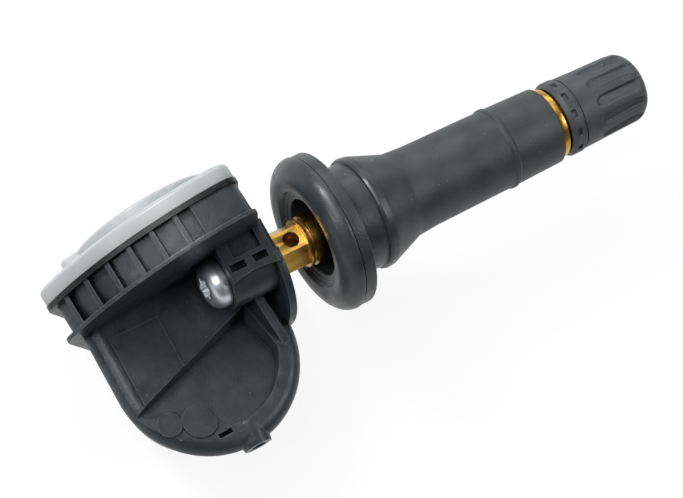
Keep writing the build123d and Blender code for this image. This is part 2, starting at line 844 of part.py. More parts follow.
# Cap shell with notches round the skirt and flutes into the domed end, and its seal
cap_waist = cap_base + cap_skirt
with BuildPart() as cap_shell:
    with BuildSketch(across(cap_base)):
        Circle(cap_radius)
    extrude(amount=cap_skirt)
    with BuildSketch(across(cap_waist)):
        Circle(cap_radius - cap_step)
    with BuildSketch(across(cap_end)):
        Circle(cap_end_radius)
    loft()
    fillet(cap_shell.edges().sort_by(Axis.X)[-1], cap_dome)
    with BuildSketch(across(cap_waist + cap_flute_start)):
        with PolarLocations(cap_radius + cap_flute_radius - cap_flute_depth, cap_flute_count):
            Circle(cap_flute_radius)
    extrude(amount=cap_length, taper=-cap_flute_flare, mode=Mode.SUBTRACT)
    with BuildSketch(across(cap_base + cap_notch_from_base)):
        with PolarLocations(cap_radius, cap_flute_count):
            Rectangle(2 * cap_notch_depth, cap_notch_width)
    extrude(amount=cap_notch_length, mode=Mode.SUBTRACT)
    with BuildSketch(across(cap_base)):
        Circle(nipple_radius + thread_gap)
    extrude(amount=cap_inside - cap_base, mode=Mode.SUBTRACT)
cap_shell.part.label = "cap_shell"

with BuildPart() as cap_seal:
    with BuildSketch(across(cap_inside - seat_gap)):
        Circle(nipple_radius - seat_gap)
    extrude(amount=nipple_end + 2 * seat_gap - cap_inside)
cap_seal.part.label = "cap_seal"

# Filter disc in the mouth of the pressure port
with BuildPart() as port_filter:
    with BuildSketch(port_plane.offset(port_mouth_depth - filter_thickness - seat_gap)):
        Circle(port_mouth_radius - seat_gap)
    extrude(amount=filter_thickness)
port_filter.part.label = "port_filter"

# Board on the shelf of the housing
with BuildPart() as circuit_board:
    with BuildSketch(level(board_level + seat_gap)):
        add(box_outline.sketch)
        offset(amount=-board_inset)
    extrude(amount=board_thickness)
circuit_board.part.label = "circuit_board"

# Coin cell between its two welded strips
with BuildPart() as battery_cell:
    with BuildSketch(level(cell_level)):
        with Locations(bulge_place):
            Circle(cell_radius)
    extrude(amount=cell_height)
    fillet(battery_cell.edges().filter_by(GeomType.CIRCLE), cell_rim)
battery_cell.part.label = "battery_cell"

tab_reach = cell_radius + loose_gap + tab_thickness
with BuildPart() as battery_tab_bottom:
    with BuildSketch(level(board_top + seat_gap)):
        with Locations((bulge_along - tab_reach / 2, bulge_back + tab_width)):
            Rectangle(tab_reach, tab_width)
    extrude(amount=tab_thickness)
battery_tab_bottom.part.label = "battery_tab_bottom"

with BuildPart() as battery_tab_top:
    with BuildSketch(level(cell_top + seat_gap)):
        with Locations((bulge_along - tab_reach / 2, bulge_back)):
            Rectangle(tab_reach, tab_width)
    extrude(amount=tab_thickness)
    with BuildSketch(level(board_top + seat_gap)):
        with Locations((bulge_along - tab_reach + tab_thickness / 2, bulge_back)):
            Rectangle(tab_thickness, tab_width / 2)
    extrude(amount=cell_top - board_top)
battery_tab_top.part.label = "battery_tab_top"

# Packages soldered to the board
with BuildPart() as sensor_chip:
    with BuildSketch(level(board_level)):
        with Locations((chip_along, chip_back)):
            Rectangle(chip_length, chip_width)
    extrude(amount=-chip_height)
sensor_chip.part.label = "sensor_chip"

with BuildPart() as crystal:
    with BuildSketch(level(board_top + seat_gap)):
        with Locations((crystal_along, crystal_back)):
            RectangleRounded(crystal_length, crystal_width, crystal_corner)
    extrude(amount=crystal_height)
crystal.part.label = "crystal"

with BuildPart() as lf_coil_core:
    with BuildSketch(level(board_top + seat_gap)):
        with Locations((coil_along, coil_back)):
            Rectangle(coil_length, coil_width)
    extrude(amount=coil_height)
    with BuildSketch(level(board_top + seat_gap)):
        with Locations((coil_along, coil_back)):
            Rectangle(coil_length - 2 * coil_cheek, coil_width)
    extrude(amount=coil_height, mode=Mode.SUBTRACT)
    with BuildSketch(level(board_top + seat_gap + winding_thickness)):
        with Locations((coil_along, coil_back)):
            Rectangle(coil_length, coil_width - 2 * winding_thickness)
    extrude(amount=coil_height - 2 * winding_thickness)
lf_coil_core.part.label = "lf_coil_core"

with BuildPart() as lf_coil_winding:
    with BuildSketch(level(board_top + 2 * seat_gap)):
        with Locations((coil_along, coil_back)):
            Rectangle(coil_length - 2 * coil_cheek - 2 * seat_gap, coil_width)
    extrude(amount=coil_height - 2 * seat_gap)
    with BuildSketch(level(board_top + winding_thickness)):
        with Locations((coil_along, coil_back)):
            Rectangle(coil_length, coil_width - 2 * winding_thickness + 2 * seat_gap)
    extrude(amount=coil_height - 2 * winding_thickness + 2 * seat_gap, mode=Mode.SUBTRACT)
lf_coil_winding.part.label = "lf_coil_winding"

with BuildPart() as chip_parts:
    with BuildSketch(level(board_level)):
        with Locations((chip_part_along, chip_part_back)):
            with GridLocations(chip_part_pitch, chip_part_pitch, 2, chip_part_count):
                Rectangle(chip_part_width, chip_part_length)
    extrude(amount=-chip_part_height)
chip_parts.part.label = "chip_parts"

with BuildPart() as antenna_strip:
    with BuildSketch(level(board_top + seat_gap)):
        with Locations((antenna_along, antenna_back)):
            Rectangle(antenna_thickness, antenna_length)
    extrude(amount=antenna_height)
antenna_strip.part.label = "antenna_strip"

# One file per piece
pieces = [
    housing,
    lid,
    rubber_stem,
    brass_stem,
    retaining_screw,
    core_plug,
    core_barrel,
    core_gasket,
    core_pin,
    core_cup,
    core_spring,
    cap_shell,
    cap_seal,
    port_filter,
    circuit_board,
    battery_cell,
    battery_tab_bottom,
    battery_tab_top,
    sensor_chip,
    crystal,
    lf_coil_core,
    lf_coil_winding,
    chip_parts,
    antenna_strip,
]
os.makedirs("parts", exist_ok=True)
for piece in pieces:
    export_step(piece.part, f"parts/{piece.part.label}.step")
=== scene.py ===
import bmesh
import bpy
from math import cos, pi, radians, sin
from mathutils import Matrix, Vector


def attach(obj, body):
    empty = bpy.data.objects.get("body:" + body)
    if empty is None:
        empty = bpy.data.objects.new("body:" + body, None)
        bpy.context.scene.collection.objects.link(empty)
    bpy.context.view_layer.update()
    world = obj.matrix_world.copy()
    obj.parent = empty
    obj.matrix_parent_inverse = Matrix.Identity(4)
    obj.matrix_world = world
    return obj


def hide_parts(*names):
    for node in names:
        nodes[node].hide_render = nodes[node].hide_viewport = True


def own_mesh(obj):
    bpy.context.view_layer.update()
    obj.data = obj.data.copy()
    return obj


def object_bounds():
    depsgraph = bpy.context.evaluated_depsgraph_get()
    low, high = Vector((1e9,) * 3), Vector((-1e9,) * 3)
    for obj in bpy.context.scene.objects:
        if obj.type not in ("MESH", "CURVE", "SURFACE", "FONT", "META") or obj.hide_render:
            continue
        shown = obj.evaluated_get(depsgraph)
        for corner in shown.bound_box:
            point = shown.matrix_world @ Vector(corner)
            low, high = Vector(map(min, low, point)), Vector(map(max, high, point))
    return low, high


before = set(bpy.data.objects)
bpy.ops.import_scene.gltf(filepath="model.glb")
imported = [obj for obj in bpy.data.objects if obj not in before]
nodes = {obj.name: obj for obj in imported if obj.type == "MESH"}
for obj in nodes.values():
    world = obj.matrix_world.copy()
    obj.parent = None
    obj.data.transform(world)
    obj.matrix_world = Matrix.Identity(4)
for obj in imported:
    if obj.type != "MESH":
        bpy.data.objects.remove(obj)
cad_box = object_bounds()
scene = bpy.context.scene
MM = 0.001


# Materials

BLOTCH_LOW, BLOTCH_HIGH = 0.3, 0.7
GLOSS_FINER = 2.3
DUST_SCALE, DUST_NONE, DUST_FULL = 2600.0, 0.77, 0.81
DUST_COLOUR = (0.30, 0.30, 0.29)
EDGE_SAMPLES, CORNER_SAMPLES = 6, 8
CORNER_FULL, CORNER_NONE = 0.45, 0.80


def new_material(name, roughness, metallic=0.0):
    material = bpy.data.materials.new(name)
    material.use_nodes = True
    shader = material.node_tree.nodes["Principled BSDF"]
    shader.inputs["Roughness"].default_value = roughness
    shader.inputs["Metallic"].default_value = metallic
    return material, material.node_tree, shader


def object_place(tree):
    return tree.nodes.new("ShaderNodeTexCoord").outputs["Object"]


def noise(tree, scale, detail=3.0, stretch=None):
    place = object_place(tree)
    if stretch:
        mapping = tree.nodes.new("ShaderNodeMapping")
        mapping.inputs["Scale"].default_value = stretch
        tree.links.new(place, mapping.inputs["Vector"])
        place = mapping.outputs["Vector"]
    texture = tree.nodes.new("ShaderNodeTexNoise")
    texture.inputs["Scale"].default_value = scale
    texture.inputs["Detail"].default_value = detail
    tree.links.new(place, texture.inputs["Vector"])
    return texture.outputs["Fac"]


def ramp(tree, source, stops):
    node = tree.nodes.new("ShaderNodeValToRGB")
    elements = node.color_ramp.elements
    while len(elements) < len(stops):
        elements.new(0.5)
    for element, (at, colour) in zip(elements, stops):
        element.position = at
        element.color = (*colour, 1.0)
    tree.links.new(source, node.inputs["Fac"])
    return node.outputs["Color"]


def grey(value):
    return (value, value, value)


def bump(tree, source, strength, depth, after=None):
    node = tree.nodes.new("ShaderNodeBump")
    node.inputs["Strength"].default_value = strength
    node.inputs["Distance"].default_value = depth
    tree.links.new(source, node.inputs["Height"])
    if after is not None:
        tree.links.new(after, node.inputs["Normal"])
    return node.outputs["Normal"]


# How far a point is bent away from the flat near an edge, as a share to mix the lighter edge colour by: wear and
# a painted highlight
def edge_share(tree, width, gain):
    soft = tree.nodes.new("ShaderNodeBevel")
    soft.samples = EDGE_SAMPLES
    soft.inputs["Radius"].default_value = width
    flat = tree.nodes.new("ShaderNodeNewGeometry")
    alike = tree.nodes.new("ShaderNodeVectorMath")
    alike.operation = "DOT_PRODUCT"
    tree.links.new(soft.outputs["Normal"], alike.inputs[0])
    tree.links.new(flat.outputs["Normal"], alike.inputs[1])
    bend = tree.nodes.new("ShaderNodeMath")
    bend.operation = "MULTIPLY_ADD"
    bend.use_clamp = True
    bend.inputs[1].default_value = -gain
    bend.inputs[2].default_value = gain
    tree.links.new(alike.outputs["Value"], bend.inputs[0])
    return bend.outputs[0]


# How far a point lies in an inner corner, as a share to mix painted shade by
def corner_share(tree, reach):
    nook = tree.nodes.new("ShaderNodeAmbientOcclusion")
    nook.samples = CORNER_SAMPLES
    nook.inputs["Distance"].default_value = reach
    return ramp(tree, nook.outputs["AO"], [(CORNER_FULL, grey(1)), (CORNER_NONE, grey(0))])


def blend(tree, share, below, above):
    mix = tree.nodes.new("ShaderNodeMix")
    mix.data_type = "RGBA"
    tree.links.new(share, mix.inputs["Factor"])
    tree.links.new(below, mix.inputs["A"])
    mix.inputs["B"].default_value = (*above, 1)
    return mix.outputs["Result"]


# A moulded or metal surface: blotchy colour, uneven gloss, pale specks of dust, grains of (scale, strength,
# depth), edges lighter by (width, gain, colour) from wear and a painted highlight, and inner corners
# darkened by painted shade of (reach, colour)
def surface(name, dark, light, rough, metallic=0.0, blotch=350.0, grains=(), stretch=None, specular=0.5,
            dust=0.0, worn_and_lit_edges=None, corner_shade=None):
    material, tree, shader = new_material(name, sum(rough) / 2, metallic)
    shader.inputs["Specular IOR Level"].default_value = specular
    colour = ramp(tree, noise(tree, blotch, 4.0, stretch), [(BLOTCH_LOW, dark), (BLOTCH_HIGH, light)])
    if dust:
        specks = [(DUST_NONE, grey(0)), (DUST_FULL, grey(dust))]
        colour = blend(tree, ramp(tree, noise(tree, DUST_SCALE, 1.0), specks), colour, DUST_COLOUR)
    # Edges lighter: partly wear, partly a painted highlight
    if worn_and_lit_edges:
        width, gain, wear_and_highlight = worn_and_lit_edges
        colour = blend(tree, edge_share(tree, width, gain), colour, wear_and_highlight)
    # Inner corners darkened: painted shade
    if corner_shade:
        reach, shade_colour = corner_shade
        colour = blend(tree, corner_share(tree, reach), colour, shade_colour)
    tree.links.new(colour, shader.inputs["Base Color"])
    gloss = [(BLOTCH_LOW, grey(rough[0])), (BLOTCH_HIGH, grey(rough[1]))]
    gloss_noise = noise(tree, blotch * GLOSS_FINER, 3.0, stretch)
    tree.links.new(ramp(tree, gloss_noise, gloss), shader.inputs["Roughness"])
    normal = None
    for scale, strength, depth in grains:
        normal = bump(tree, noise(tree, scale, 2.0, stretch), strength, depth, normal)
    if normal is not None:
        tree.links.new(normal, shader.inputs["Normal"])
    return material


# Nylon: its lighter edges are wear and a painted highlight, and its darker inner corners are painted shade
nylon = surface("nylon", dark=(0.0165, 0.0206, 0.0238), light=(0.0290, 0.0348, 0.0390), rough=(0.30, 0.44),
                blotch=420, grains=[(1300, 0.30, 0.00008), (5200, 0.45, 0.00004)], specular=0.30, dust=0.25,
                worn_and_lit_edges=(0.00016, 2.4, (0.13, 0.143, 0.152)), corner_shade=(0.0012, (0.003, 0.0038, 0.0043)))
rubber = surface("rubber", dark=(0.0180, 0.0215, 0.0236), light=(0.0360, 0.0410, 0.0440), rough=(0.29, 0.43),
                 blotch=300, grains=[(900, 0.25, 0.00010), (4200, 0.55, 0.00004)], specular=0.38, dust=0.4)
cap_plastic = surface("cap_plastic", dark=(0.031, 0.036, 0.039), light=(0.044, 0.049, 0.053),
                      rough=(0.40, 0.56), blotch=400, grains=[(1500, 0.20, 0.00006), (6000, 0.30, 0.00003)],
                      specular=0.4, dust=0.35)
brass = surface("brass", dark=(0.38, 0.20, 0.03), light=(0.76, 0.48, 0.12), rough=(0.22, 0.42), metallic=1.0,
                blotch=520, grains=[(1100, 0.25, 0.00004)], stretch=(0.35, 1, 1))
core_brass = surface("core_brass", dark=(0.62, 0.40, 0.11), light=(0.78, 0.56, 0.20), rough=(0.22, 0.34),
                     metallic=1.0, stretch=(6, 1, 1))
zinc = surface("zinc", dark=(0.74, 0.81, 0.88), light=(0.90, 0.94, 0.98), rough=(0.36, 0.44), metallic=1.0,
               blotch=250)
steel = surface("steel", dark=(0.50, 0.50, 0.51), light=(0.66, 0.66, 0.67), rough=(0.24, 0.38), metallic=1.0,
                blotch=500)
seal = surface("seal", dark=(0.040, 0.040, 0.043), light=(0.060, 0.060, 0.063), rough=(0.50, 0.66),
               grains=[(3000, 0.2, 0.00003)])
membrane = surface("membrane", dark=(0.30, 0.30, 0.29), light=(0.40, 0.40, 0.39), rough=(0.70, 0.85),
                   grains=[(9000, 0.5, 0.00003)])
package = surface("package", dark=(0.020, 0.020, 0.021), light=(0.032, 0.032, 0.033), rough=(0.45, 0.60),
                  grains=[(6000, 0.3, 0.00002)])
ferrite = surface("ferrite", dark=(0.055, 0.055, 0.060), light=(0.085, 0.085, 0.090), rough=(0.50, 0.65),
                  grains=[(5000, 0.4, 0.00003)])
fired = surface("fired", dark=(0.36, 0.27, 0.18), light=(0.48, 0.38, 0.27), rough=(0.45, 0.60), blotch=1500)
tin = surface("tin", dark=(0.58, 0.57, 0.53), light=(0.72, 0.71, 0.66), rough=(0.28, 0.42), metallic=1.0,
              blotch=700)


def height_along(tree, axis):
    along = tree.nodes.new("ShaderNodeVectorMath")
    along.operation = "DOT_PRODUCT"
    along.inputs[1].default_value = axis
    tree.links.new(object_place(tree), along.inputs[0])
    return along.outputs["Value"]


def map_range(tree, source, low, high):
    node = tree.nodes.new("ShaderNodeMapRange")
    node.inputs["From Min"].default_value = low * MM
    node.inputs["From Max"].default_value = high * MM
    tree.links.new(source, node.inputs["Value"])
    return node.outputs["Result"]


# Another value on a stretch of a material: it starts, is whole, fades and ends at the span's four places
# along an axis, in millimetres
def band(material, axis, span, value, socket="Base Color"):
    tree = material.node_tree
    target = tree.nodes["Principled BSDF"].inputs[socket]
    start, full, fade, end = span
    height = height_along(tree, axis)
    share = tree.nodes.new("ShaderNodeMath")
    share.operation = "MULTIPLY"
    tree.links.new(map_range(tree, height, start, full), share.inputs[0])
    tree.links.new(map_range(tree, height, end, fade), share.inputs[1])
    plain = target.links[0].from_socket
    tree.links.new(blend(tree, share.outputs[0], plain, value), target)


STEM_AXIS = (1, 0, 0)
LID_TILT = 3.3
LID_AXIS = (-sin(radians(LID_TILT)), cos(radians(LID_TILT)), 0.0)
CUP_SHADE_SPAN, CUP_SHADE_COLOUR = (-4.4, -3.0, 27.0, 29.0), (0.10, 0.055, 0.018)
DULL_SPAN, DULL_ROUGHNESS = (4.0, 9.0, 50.0, 60.0), 0.48
RIM_SHADE_SPAN, RIM_SHADE_COLOUR = (8.0, 8.15, 8.9, 9.2), (0.005, 0.006, 0.0065)

# Painted shade darkens the brass inside the rubber's cup and the housing's rim in the groove under the lid;
# the stem is duller than the flange
band(brass, STEM_AXIS, CUP_SHADE_SPAN, CUP_SHADE_COLOUR)
band(rubber, STEM_AXIS, DULL_SPAN, grey(DULL_ROUGHNESS), "Roughness")
band(nylon, LID_AXIS, RIM_SHADE_SPAN, RIM_SHADE_COLOUR)


# Board: green mask with a lighter copper pattern under it
def board_material():
    material, tree, shader = new_material("board", 0.35)
    tracks = tree.nodes.new("ShaderNodeTexBrick")
    tracks.inputs["Scale"].default_value = 260
    tracks.inputs["Mortar Size"].default_value = 0.05
    tracks.inputs["Color1"].default_value = (0.010, 0.105, 0.045, 1)
    tracks.inputs["Color2"].default_value = (0.013, 0.125, 0.055, 1)
    tracks.inputs["Mortar"].default_value = (0.008, 0.070, 0.030, 1)
    tree.links.new(object_place(tree), tracks.inputs["Vector"])
    tree.links.new(tracks.outputs["Color"], shader.inputs["Base Color"])
    tree.links.new(bump(tree, tracks.outputs["Fac"], 0.3, 0.00003), shader.inputs["Normal"])
    return material


# Winding: fine turns of enamelled wire
WIRE_DARK, WIRE_LIGHT = (0.25, 0.09, 0.03), (0.62, 0.27, 0.11)


def winding_material():
    material, tree, shader = new_material("winding", 0.3, 1.0)
    turns = tree.nodes.new("ShaderNodeTexWave")
    turns.wave_type = "BANDS"
    turns.bands_direction = "X"
    turns.inputs["Scale"].default_value = 1800
    turns.inputs["Distortion"].default_value = 0.3
    tree.links.new(object_place(tree), turns.inputs["Vector"])
    colour = ramp(tree, turns.outputs["Fac"], [(0.0, WIRE_DARK), (1.0, WIRE_LIGHT)])
    tree.links.new(colour, shader.inputs["Base Color"])
    tree.links.new(bump(tree, turns.outputs["Fac"], 0.6, 0.00005), shader.inputs["Normal"])
    return material


# Lid: milky plastic, greyer near the black rim that shows through its skirt
LID_FOOT, LID_CLEAR = 7.6, 10.5
LID_MILK = [(0.0, (0.17, 0.17, 0.162)), (0.3, (0.255, 0.26, 0.256)), (1.0, (0.32, 0.335, 0.344))]


def lid_material():
    material, tree, shader = new_material("lid_plastic", 0.34)
    shader.inputs["Subsurface Weight"].default_value = 0.35
    shader.inputs["Subsurface Radius"].default_value = (0.0022, 0.0024, 0.0026)
    shader.inputs["Subsurface Scale"].default_value = 1.0
    shader.inputs["Specular IOR Level"].default_value = 0.4
    level = map_range(tree, height_along(tree, LID_AXIS), LID_FOOT, LID_CLEAR)
    tree.links.new(ramp(tree, level, LID_MILK), shader.inputs["Base Color"])
    flow = noise(tree, 500, 2.0, (0.3, 1, 1))
    tree.links.new(bump(tree, flow, 0.08, 0.00006), shader.inputs["Normal"])
    return material


lid_plastic = lid_material()


# Meshes, with sizes in millimetres along the stem from the flange's seat

HOUSING_BREAK, LID_BREAK, INSERT_BREAK, SCREW_BREAK = 0.16, 0.12, 0.07, 0.06
BROKEN_ANGLE, FLAT_ANGLE, SMOOTH_ANGLE, STEM_SMOOTH_ANGLE = 35, 0.6, 40, 50
WELD, SLIVER = 2e-6, 1e-7
ROUND_STEPS, ROUND_REACH = 6, 0.49
TURNED_COUNT = 144


def add_piece(name, mesh, material, body, stands_for, angle=SMOOTH_ANGLE, flat=False):
    o = bpy.data.objects.new(name, mesh)
    scene.collection.objects.link(o)
    mesh.materials.clear()
    mesh.materials.append(material)
    mesh.shade_smooth()
    mesh.set_sharp_from_angle(angle=radians(angle))
    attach(o, body)
    if flat:
        weighted = o.modifiers.new("flat_faces", "WEIGHTED_NORMAL")
        weighted.keep_sharp = True
    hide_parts(stands_for)
    return o


# A copy of a CAD node's shape with its sharp edges broken, as a moulding or turned part has them
def broken_edges(node, width):
    bm = bmesh.new()
    bm.from_mesh(nodes[node].data)
    bmesh.ops.remove_doubles(bm, verts=bm.verts, dist=WELD)
    bmesh.ops.dissolve_limit(bm, angle_limit=radians(FLAT_ANGLE), verts=bm.verts, edges=bm.edges)
    inner = [e for e in bm.edges if len(e.link_faces) == 2]
    sharp = [e for e in inner if e.calc_face_angle(0) > radians(BROKEN_ANGLE)]
    bmesh.ops.bevel(bm, geom=sharp, offset=width * MM, offset_type="OFFSET", segments=2, profile=0.5,
                    affect="EDGES", clamp_overlap=True)
    bmesh.ops.triangulate(bm, faces=[f for f in bm.faces if len(f.verts) > 4])
    bmesh.ops.dissolve_degenerate(bm, dist=SLIVER, edges=bm.edges)
    mesh = bpy.data.meshes.new(node + "_shape")
    bm.to_mesh(mesh)
    bm.free()
    return mesh


# Points of an outline with each corner rounded by its own radius
def rounded(corners):
    points = []
    for i, (x, y, radius) in enumerate(corners):
        here = Vector((x, y))
        if radius == 0 or i in (0, len(corners) - 1):
            points.append((x, y))
            continue
        back = Vector(corners[i - 1][:2]) - here
        ahead = Vector(corners[i + 1][:2]) - here
        half = back.angle(ahead) / 2
        reach = min(radius * abs(cos(half) / sin(half)), back.length * ROUND_REACH, ahead.length * ROUND_REACH)
        start, end = here + back.normalized() * reach, here + ahead.normalized() * reach
        for k in range(ROUND_STEPS + 1):
            t = k / ROUND_STEPS
            p = start * (1 - t) ** 2 + here * 2 * t * (1 - t) + end * t ** 2
            points.append((p.x, p.y))
    return points


def ring_points(ring):
    turns = [2 * pi * k / len(ring) for k in range(len(ring))]
    return [(x * MM, r * cos(a) * MM, r * sin(a) * MM) for (x, r), a in zip(ring, turns)]


# A closed surface of rings: each ring lists (x, radius) for every angle, and a ring of no radius is a point
def rings_mesh(name, rings):
    bm = bmesh.new()
    loops = []
    for ring in rings:
        points = ring_points(ring if ring[0][1] > 0 else ring[:1])
        loops.append([bm.verts.new(p) for p in points])
    for here, there in zip(loops, loops[1:] + loops[:1]):
        count = max(len(here), len(there))
        for k in range(count if count > 1 else 0):
            n = k + 1
            corners = [here[k % len(here)], here[n % len(here)], there[n % len(there)], there[k % len(there)]]
            bm.faces.new(dict.fromkeys(corners))
    bmesh.ops.recalc_face_normals(bm, faces=bm.faces)
    mesh = bpy.data.meshes.new(name)
    bm.to_mesh(mesh)
    bm.free()
    return mesh


# Rises smoothly from 0 to 1
def ease(t):
    t = min(1.0, max(0.0, t))
    return t * t * (3 - 2 * t)


# Rubber stem: cup, round flange with a fine line at its lip, rim groove, bulb, taper, ridge and end
STEM_BORE = 3.12
CUP_FLOOR, CUP_RADIUS = 0.70, 4.90
CUP_STEP, CUP_STEP_RADIUS = -3.05, 5.45
CUP_LEDGE, CUP_LEDGE_INNER, CUP_LEDGE_OUTER = -3.25, 5.55, 6.0
CUP_MOUTH, CUP_MOUTH_RADIUS = -3.72, 6.25
NOSE_START, NOSE_LENGTH, NOSE_FOOT_RADIUS, NOSE_RISE = -3.9, 2.15, 7.3, 2.5
NOSE_ANGLES = range(0, 91, 6)
LIP_START, LIP_START_RADIUS = -1.70, 9.78
LIP_LINE_START, LIP_LINE_END, LIP_LINE_RADIUS = -1.66, -1.56, 9.56
LIP_BACK, LIP_BACK_RADIUS = -1.50, 9.68
LIP_END, LIP_END_RADIUS = -0.02, 9.70
SEAT, SEAT_RADIUS, GROOVE_MOUTH_RADIUS = 0.0, 9.30, 7.05
GROOVE_START, GROOVE_START_RADIUS = 0.55, 6.70
GROOVE_END, GROOVE_END_RADIUS = 3.50, 6.66
BULB_START, BULB_START_RADIUS = 3.62, 7.00
BULB_TOP, BULB_TOP_RADIUS = 3.95, 7.12
BULB_END, BULB_END_RADIUS = 4.75, 7.04
TAPER_END, TAPER_END_RADIUS = 9.2, 5.36
TUBE_START, TUBE_RADIUS = 12.0, 5.16
RIDGE_START, RIDGE_RISEN, RIDGE_FALL, RIDGE_END = 22.75, 22.95, 23.35, 23.6
RIDGE_FOOT_RADIUS, RIDGE_RADIUS = 5.02, 5.20
BREAK_START, BREAK_RADIUS = 30.05, 4.86
STEM_END, STEM_END_RADIUS = 30.3, 4.60
SOCKET_START, SOCKET_RADIUS = 27.88, 3.87


# Each corner is its place along the stem, its radius and how far it is rounded
def stem_outline():
    cup = [
        (CUP_FLOOR, STEM_BORE, 0), (CUP_FLOOR, CUP_RADIUS, 0.25), (CUP_STEP, CUP_RADIUS, 0.3),
        (CUP_STEP, CUP_STEP_RADIUS, 0.1), (CUP_LEDGE, CUP_LEDGE_INNER, 0.1), (CUP_LEDGE, CUP_LEDGE_OUTER, 0.1),
        (CUP_MOUTH, CUP_MOUTH_RADIUS, 0.3),
    ]
    turns = [radians(d) for d in NOSE_ANGLES]
    nose = [(NOSE_START + NOSE_LENGTH * (1 - cos(a)), NOSE_FOOT_RADIUS + NOSE_RISE * sin(a), 0) for a in turns]
    lip = [
        (LIP_START, LIP_START_RADIUS, 0), (LIP_LINE_START, LIP_LINE_RADIUS, 0),
        (LIP_LINE_END, LIP_LINE_RADIUS, 0.02), (LIP_BACK, LIP_BACK_RADIUS, 0.05),
        (LIP_END, LIP_END_RADIUS, 0.25),
    ]
    groove = [
        (SEAT, SEAT_RADIUS, 0.1), (SEAT, GROOVE_MOUTH_RADIUS, 0.5), (GROOVE_START, GROOVE_START_RADIUS, 0.3),
        (GROOVE_END, GROOVE_END_RADIUS, 0.05),
    ]
    bulb = [
        (BULB_START, BULB_START_RADIUS, 0.08), (BULB_TOP, BULB_TOP_RADIUS, 0.1),
        (BULB_END, BULB_END_RADIUS, 0.25), (TAPER_END, TAPER_END_RADIUS, 2.0),
    ]
    tube = [
        (TUBE_START, TUBE_RADIUS, 1.0), (RIDGE_START, RIDGE_FOOT_RADIUS, 0.1), (RIDGE_RISEN, RIDGE_RADIUS, 0.12),
        (RIDGE_FALL, RIDGE_RADIUS, 0.12), (RIDGE_END, RIDGE_FOOT_RADIUS, 0.1),
    ]
    end = [
        (BREAK_START, BREAK_RADIUS, 0.12), (STEM_END, STEM_END_RADIUS, 0.1), (STEM_END, SOCKET_RADIUS, 0.1),
        (SOCKET_START, SOCKET_RADIUS, 0), (SOCKET_START, STEM_BORE, 0),
    ]
    return cup + nose + lip + groove + bulb + tube + end


sleeve = rings_mesh("rubber_sleeve", [[p] * TURNED_COUNT for p in rounded(stem_outline())])
add_piece("rubber_sleeve", sleeve, rubber, "sensor", "rubber_stem", STEM_SMOOTH_ANGLE)


# Cap: notched skirt, two fine step lines, then flutes that deepen towards the domed end and die out on it
CAP_BASE, CAP_WAIST, CAP_END, CAP_DOME, CAP_CROWN = 31.5, 33.2, 43.6, 2.2, 2.3
CAP_SKIRT_RADIUS, CAP_BODY_RADIUS, CAP_END_RADIUS = 4.78, 4.66, 4.4
CAP_LEAD, CAP_LEAD_DROP = 0.5, 0.45
CAP_BORE, CAP_CEILING, CAP_MOUTH, CAP_MOUTH_RADIUS = 3.9, 40.7, 32.0, 4.2
CAP_LIP = 0.05
STEP_LINE_START, STEP_LINE_END, STEP_LINE_DEPTH = 33.45, 33.6, 0.14
STEP_HALF, WAIST_GUARD = 0.01, 0.03
SKIRT_RING, BODY_RING = 33.0, 34.0
NOTCH_START, NOTCH_END, NOTCH_DEPTH, NOTCH_SHARE = 32.05, 32.75, 0.3, 0.42
NOTCH_SLOPE, NOTCH_SIDE_SHARE = 0.06, 0.06
NOTCH_RISE = (-0.01, 0.03, 0.07)
FLUTES, FLUTE_COLUMNS, FLUTE_ROWS = 12, 30, 34
FLUTE_START, FLUTE_LEAD, FLUTE_RISE, FLUTE_ROUND = 35.6, 1.0, 0.7, 0.7
FLUTE_DEPTH, FLUTE_SHARE, FLUTE_SQUARENESS = 0.5, 0.62, 6
FLUTE_SHALLOW, FLUTE_DEEPEN_LENGTH = 0.6, 6.0
FLUTE_FADE_START, FLUTE_FADE = -0.1, 0.85
DOME_ANGLES = range(3, 90, 4)


def skirt_radius(x, off):
    lead = CAP_LEAD_DROP * max(0.0, 1 - (x - CAP_BASE) / CAP_LEAD)
    along = ease(min(x - NOTCH_START, NOTCH_END - x) / NOTCH_SLOPE)
    across = ease((NOTCH_SHARE - off) / NOTCH_SIDE_SHARE)
    return CAP_SKIRT_RADIUS - lead - NOTCH_DEPTH * along * across


def flute_depth(x, off, dome):
    start = FLUTE_START + FLUTE_ROUND * (off / FLUTE_SHARE) ** 2
    if off >= FLUTE_SHARE or x <= start:
        return 0.0
    deepen = FLUTE_SHALLOW + (1 - FLUTE_SHALLOW) * (x - FLUTE_START) / FLUTE_DEEPEN_LENGTH
    depth = FLUTE_DEPTH * ease((x - start) / FLUTE_RISE) * deepen
    fade = 1 - ease((dome - FLUTE_FADE_START) / FLUTE_FADE)
    return depth * fade * (1 - (off / FLUTE_SHARE) ** FLUTE_SQUARENESS)


def cap_radius(x, angle):
    off = abs((angle * FLUTES / (2 * pi)) % 1.0 - 0.5) * 2
    if x <= CAP_WAIST:
        return skirt_radius(x, off)
    r = CAP_BODY_RADIUS + (CAP_END_RADIUS - CAP_BODY_RADIUS) * (x - CAP_WAIST) / (CAP_END - CAP_WAIST)
    if STEP_LINE_START < x < STEP_LINE_END:
        r -= STEP_LINE_DEPTH
    dome = (x - CAP_END + CAP_DOME) / CAP_DOME
    if dome > 0:
        r -= CAP_DOME * (1 - max(0.0, 1 - dome * dome) ** 0.5)
    return r - flute_depth(x, off, dome)


def steps_at(*places):
    return [x + side for x in places for side in (-STEP_HALF, STEP_HALF)]


